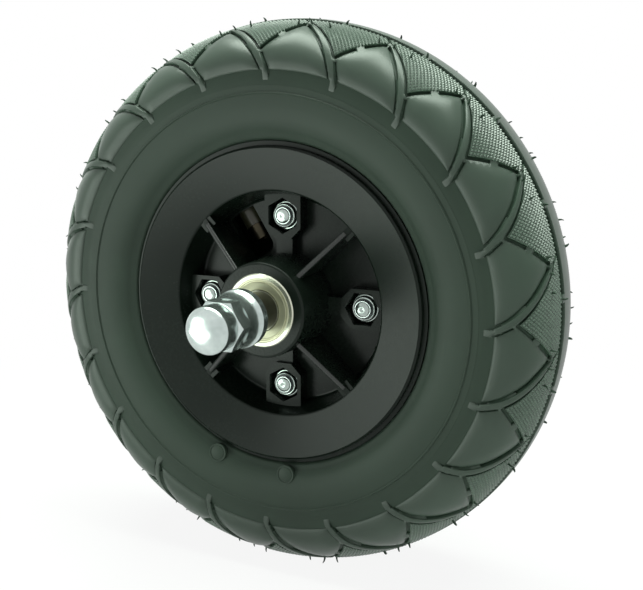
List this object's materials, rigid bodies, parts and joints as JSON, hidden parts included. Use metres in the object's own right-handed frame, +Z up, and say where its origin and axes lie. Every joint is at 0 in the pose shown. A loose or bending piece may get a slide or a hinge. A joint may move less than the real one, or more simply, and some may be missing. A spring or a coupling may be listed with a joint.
{
  "type": "pneumatic wheel on a fixed axle",
  "caption": "Small pneumatic scooter wheel: air tyre on a bolted two-piece moulded rim, turning on shielded ball bearings on a fixed axle with sleeves, washers and domed cap nuts.",
  "frame": {"origin": "centre of the wheel, on the axle's axis in the tyre's mid plane", "axes": "+Y along the axle, from the side with the clamp nuts and valve window (-Y) to the side with the clamp screw heads (+Y); +Z up, away from the ground under the wheel"},
  "size_m": [0.204, 0.131, 0.204],
  "materials": {
    "tyre_rubber": "satin",
    "tube_rubber": "matte",
    "valve_rubber": "satin",
    "valve_metal": "satin",
    "hub_plastic": "satin",
    "bright_zinc": "polished",
    "insert_nylon": "matte",
    "bearing_steel": "polished",
    "cage_steel": "satin",
    "shield_steel": "satin",
    "sleeve_steel": "satin",
    "axle_steel": "satin"
  },
  "bodies": {
    "axle": {"axle_rod": "axle_steel", "bearing_spacer": "axle_steel", "front_bearing_inner_ring": "bearing_steel", "front_axle_sleeve": "sleeve_steel", "front_axle_washer": "bright_zinc", "front_cap_nut": "bright_zinc", "rear_bearing_inner_ring": "bearing_steel", "rear_axle_sleeve": "sleeve_steel", "rear_axle_washer": "bright_zinc", "rear_cap_nut": "bright_zinc"},
    "wheel": {"tyre": "tyre_rubber", "inner_tube": "tube_rubber", "valve_stem": "valve_rubber", "valve_barrel": "valve_metal", "valve_core": "valve_metal", "rim_half_front": "hub_plastic", "rim_half_rear": "hub_plastic", "clamp_screws": "bright_zinc", "clamp_washers": "bright_zinc", "clamp_nuts": "bright_zinc", "nut_inserts": "insert_nylon", "front_bearing_outer_ring": "bearing_steel", "front_bearing_outer_shield": "shield_steel", "front_bearing_inner_shield": "shield_steel", "rear_bearing_outer_ring": "bearing_steel", "rear_bearing_outer_shield": "shield_steel", "rear_bearing_inner_shield": "shield_steel"},
    "front_ball_train": {"front_bearing_balls": "bearing_steel", "front_bearing_cage": "cage_steel"},
    "rear_ball_train": {"rear_bearing_balls": "bearing_steel", "rear_bearing_cage": "cage_steel"},
    "valve_pin": {"valve_pin": "valve_metal"}
  },
  "joints": [
    {"name": "wheel_spin", "type": "hinge", "parent": "axle", "child": "wheel", "pos_m": [0, 0, 0], "axis": [0, 1, 0], "continuous": true},
    {"name": "front_cage_spin", "type": "hinge", "parent": "axle", "child": "front_ball_train", "pos_m": [0, -0.0249, 0], "axis": [0, 1, 0], "continuous": true},
    {"name": "rear_cage_spin", "type": "hinge", "parent": "axle", "child": "rear_ball_train", "pos_m": [0, 0.0249, 0], "axis": [0, 1, 0], "continuous": true},
    {"name": "valve_pin_press", "type": "slide", "parent": "wheel", "child": "valve_pin", "axis": [-0.5373, 0, 0.8434], "range_m": [0, 0.001], "stiffness_N_per_m": 300, "springref_m": -0.001}
  ],
  "couplings": [
    {"joint": "front_cage_spin", "follows": "wheel_spin", "ratio": 0.6322},
    {"joint": "rear_cage_spin", "follows": "wheel_spin", "ratio": 0.6322}
  ]
}
